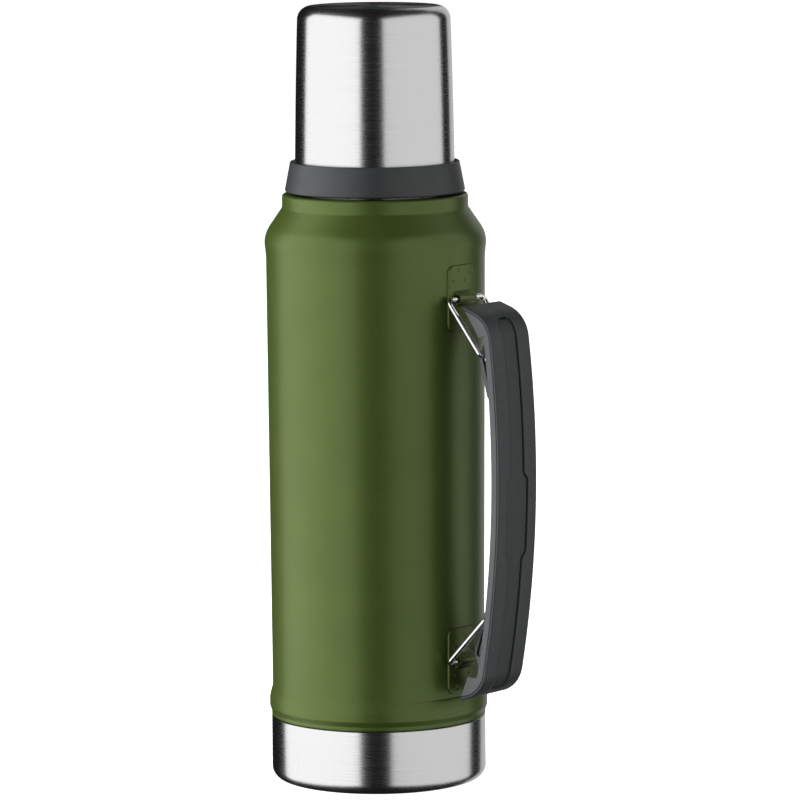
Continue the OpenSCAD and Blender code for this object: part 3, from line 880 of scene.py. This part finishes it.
def stopper_gasket():
    profile = rounded([
        (NOSE_R, PLUG_Z - 2.6, 0.1), (MOUTH_R - 1.7, PLUG_Z - 1.7, 0.6), (MOUTH_R - 1.0, PLUG_Z - 0.8, 0.4),
        (MOUTH_R - 1.0, PLUG_Z, 0.3), (NOSE_R, PLUG_Z, 0.05)])
    return lathe("stopper_gasket_ring", profile)


def cup_collar():
    shelf = MOUTH_Z + 2.2
    outer = outer_radius("cup_collar")
    sleeve = CUP_R - SHEET - 0.35

    def shape(r, z, turn):
        if abs(r - COLLAR_BORE) < 1e-4:
            return r - THREAD_H * ridge(z, turn, NECK_THREAD_LOW - 1, NECK_THREAD_HIGH - 1, NECK_PITCH)
        return r

    outside = rounded([
        (COLLAR_BORE, COLLAR_Z + 3, 0), (COLLAR_BORE, COLLAR_Z, 0.5), (outer, COLLAR_Z, 1.0),
        (36.85, COLLAR_TOP, 0.45), (35.9, COLLAR_TOP, 0.35), (35.5, COLLAR_TOP - 0.8, 0.3),
        (CUP_R, COLLAR_TOP - 1.0, 0), (sleeve, COLLAR_TOP - 1.0, 0), (sleeve, shelf + 1.2, 0.3),
        (26.8, shelf + 1.2, 0.3), (26.8, shelf, 0.3), (COLLAR_BORE, shelf, 0)], closed=False)
    bore = heights(COLLAR_BORE, shelf - 0.1, COLLAR_Z + 3.1)
    return lathe("cup_collar_ring", outside + bore, shape=shape)


def cup_wall(z, inset):
    """Radius of the slightly bowed cup at a height above its collar."""
    bow = ((0, 0), (26, -0.45), (43, -0.85), (54, -1.15), (61.5, -1.4))
    for (z0, r0), (z1, r1) in zip(bow, bow[1:]):
        if z <= z1:
            return CUP_R - inset + r0 + (r1 - r0) * (z - z0) / (z1 - z0)
    return CUP_R - inset + bow[-1][1]


def cup_shell():
    edge = 6.0
    rise = CUP_TOP - COLLAR_TOP
    levels = [-0.9, 0.2] + [1 + 3 * k for k in range(20)]
    outside = [Vector((cup_wall(z, 0), COLLAR_TOP + z)) for z in levels]
    edge_r = cup_wall(61.5, 0) - edge
    outside += arc(edge_r, CUP_TOP - edge, edge, 0, math.radians(82), 16)
    dome = [Vector((edge_r * (1 - k / 6), CUP_TOP - 0.05 * (1 - k / 6) ** 2)) for k in range(7)]
    inside = [Vector((0, CUP_TOP - SHEET))] + arc(edge_r, CUP_TOP - edge, edge - SHEET, math.pi / 2, 0, 10)
    inside += [Vector((cup_wall(z, SHEET), COLLAR_TOP + z)) for z in (rise - 10, 40, 20, -0.9)]
    return lathe("cup_shell_skin", outside + dome + inside, smooth=28)


def cup_liner():
    low, high = node_box("cup_liner")
    outer = high.y
    profile = rounded([
        (outer, low.z, 0.2), (outer - 1.35, high.z, 7), (0, high.z, 0), (0, high.z - 1.2, 0),
        (outer - 2.55, high.z - 1.2, 5.8), (outer - 1.3, low.z + 8, 0.3), (outer - 1.0, low.z + 7.4, 0.3),
        (outer - 1.0, low.z, 0.4)], steps=9)
    return lathe("cup_liner_skin", profile)


# ---------------------------------------------------------------- the whole flask


def build(materials):
    """Makes every piece and gives the CAD nodes that stay in sight their materials."""
    made = [
        (outer_shell(), "flask", "outer_shell", "green_paint"),
        (base_cup(), "flask", "base_cup", "brushed_steel"),
        (neck_tube(), "flask", "neck_tube", "inner_steel"),
        (bracket("upper_bracket_plate", HINGES["upper"], 1), "flask", "upper_bracket", "green_paint"),
        (bracket("lower_bracket_plate", HINGES["lower"], -1), "flask", "lower_bracket", "green_paint"),
        (bail("upper_bail_wire", HINGES["upper"], UPPER_ANGLE, -1),
         "upper_bail", "upper_bail", "bright_wire"),
        (bail("lower_bail_wire", HINGES["lower"], LOWER_ANGLE, 1),
         "lower_bail", "lower_bail", "bright_wire"),
        (handle_frame(), "handle", "handle_frame", "handle_grey"),
        (handle_cover(), "handle", "handle_cover", "handle_dark"),
        (grip_insert(), "handle", "grip_insert", "soft_band"),
        (stopper_body(), "stopper", "stopper_body", "stopper_black"),
        (stopper_knob(), "stopper", "stopper_knob", "stopper_black"),
        (stopper_gasket(), "stopper", "stopper_gasket", "seal_rubber"),
        (cup_shell(), "cup", "cup_shell", "brushed_steel"),
        (cup_liner(), "cup", "cup_liner", "liner_grey"),
        (cup_collar(), "cup", "cup_collar", "collar_dark"),
    ]
    for piece, body, node, slot in made:
        finish_piece(piece, body, node, materials[slot])
    kept = {
        "vacuum_bottom": "dull_steel",
        "vacuum_plug": "solder",
        "getter": "dull_steel",
        "inner_vessel": "inner_steel",
        "foil_wrap": "copper_foil",
        "handle_screws": "screw_steel",
        "stopper_foam": "foam_core",
        "cup_seal": "seal_rubber",
    }
    for name, slot in kept.items():
        nodes[name].data.materials.clear()
        nodes[name].data.materials.append(materials[slot])


# ---------------------------------------------------------------- camera, lights and floor

CAMERA_AT = Vector((1.4629, -1.8391, 0.470))
LOOK_AT = Vector((0.00803, 0.00639, 0.16674))
LENS = 243.87
ROLL = math.radians(-0.388)


def add_camera():
    data = bpy.data.cameras.new("camera")
    data.lens = LENS
    data.sensor_width = 36
    data.clip_end = 60
    camera = bpy.data.objects.new("camera", data)
    ahead = (LOOK_AT - CAMERA_AT).normalized()
    right = ahead.cross(Vector((0, 0, 1))).normalized()
    up = right.cross(ahead)
    right, up = (math.cos(ROLL) * right + math.sin(ROLL) * up, math.cos(ROLL) * up - math.sin(ROLL) * right)
    turn = Matrix((right, up, -ahead)).transposed().to_4x4()
    camera.matrix_world = Matrix.Translation(CAMERA_AT) @ turn
    bpy.context.scene.collection.objects.link(camera)
    bpy.context.scene.camera = camera


CAMERA_TURN = math.atan2(CAMERA_AT.x, -CAMERA_AT.y)


def around(turn, distance, height):
    """A place round the flask, at an angle from the camera's side, positive to the camera's right."""
    a = CAMERA_TURN + math.radians(turn)
    return Vector((distance * math.sin(a), -distance * math.cos(a), height))


LIGHTS_LOW, LIGHTS_HIGH = -1.6, 2.4
SIDE_DISTANCE = 2.0
BACK_DISTANCE = 2.2


def softbox(name, turn, distance, width, glow):
    """A flat upright light of an even brightness that faces the flask from one side."""
    data = bpy.data.lights.new(name, "AREA")
    data.shape = "RECTANGLE"
    data.size = width
    data.size_y = LIGHTS_HIGH - LIGHTS_LOW
    data.energy = glow * math.pi * width * (LIGHTS_HIGH - LIGHTS_LOW)
    light = bpy.data.objects.new(name, data)
    at = around(turn, distance, (LIGHTS_LOW + LIGHTS_HIGH) / 2)
    light.location = at
    light.rotation_mode = "QUATERNION"
    light.rotation_quaternion = (at - Vector((0, 0, at.z))).to_track_quat("Z", "Y")
    bpy.context.scene.collection.objects.link(light)
    return light


def side_width(half_turn):
    """Width of a side light that spans an angle to each side of its middle, seen from the flask."""
    return 2 * SIDE_DISTANCE * math.tan(math.radians(half_turn))


def add_lights():
    """Two broad softboxes with a dark gap between them, a dim panel behind, and a fill without reflections."""
    softbox("left_softbox", -70.5, SIDE_DISTANCE, side_width(50.5), 1.5)
    softbox("right_softbox", 64.5, SIDE_DISTANCE, side_width(51.5), 0.93)
    softbox("back_panel", 158, BACK_DISTANCE, 1.3, 0.6)
    fill = softbox("left_fill", -95, SIDE_DISTANCE, 1.6, 5.4)
    fill.visible_glossy = False


def add_world():
    world = bpy.data.worlds.new("studio")
    world.use_nodes = True
    world.node_tree.nodes["Background"].inputs["Color"].default_value = (0.010, 0.0107, 0.0115, 1)
    world.node_tree.nodes["Background"].inputs["Strength"].default_value = 1.0
    bpy.context.scene.world = world


def add_floor():
    """A wide pale floor that the reflections don't show, as on a lifted studio table."""
    half, count, height = 60.0, 8, -0.02
    points, faces = [], []
    for j in range(count + 1):
        for i in range(count + 1):
            points.append(((i / count - 0.5) * 2 * half / MM, (j / count - 0.5) * 2 * half / MM, height))
    for j in range(count):
        for i in range(count):
            a = j * (count + 1) + i
            faces.append([a, a + 1, a + count + 2, a + count + 1])
    floor = mesh_piece("floor", points, faces)
    made = Surface("floor_paper", 0.9, specular=0.1)
    made.colour(made.noise(made.stretched(0.002, 0.002, 0.002), 2), (0.9, 0.9, 0.9), (0.93, 0.93, 0.93))
    made.shader.inputs["Emission Color"].default_value = (1, 1, 1, 1)
    made.shader.inputs["Emission Strength"].default_value = 1.0
    floor.data.materials.append(made.material)
    floor.visible_glossy = False
    floor.visible_diffuse = False


build(make_materials())
add_camera()
add_lights()
add_world()
add_floor()
bpy.context.scene.view_settings.view_transform = "Standard"
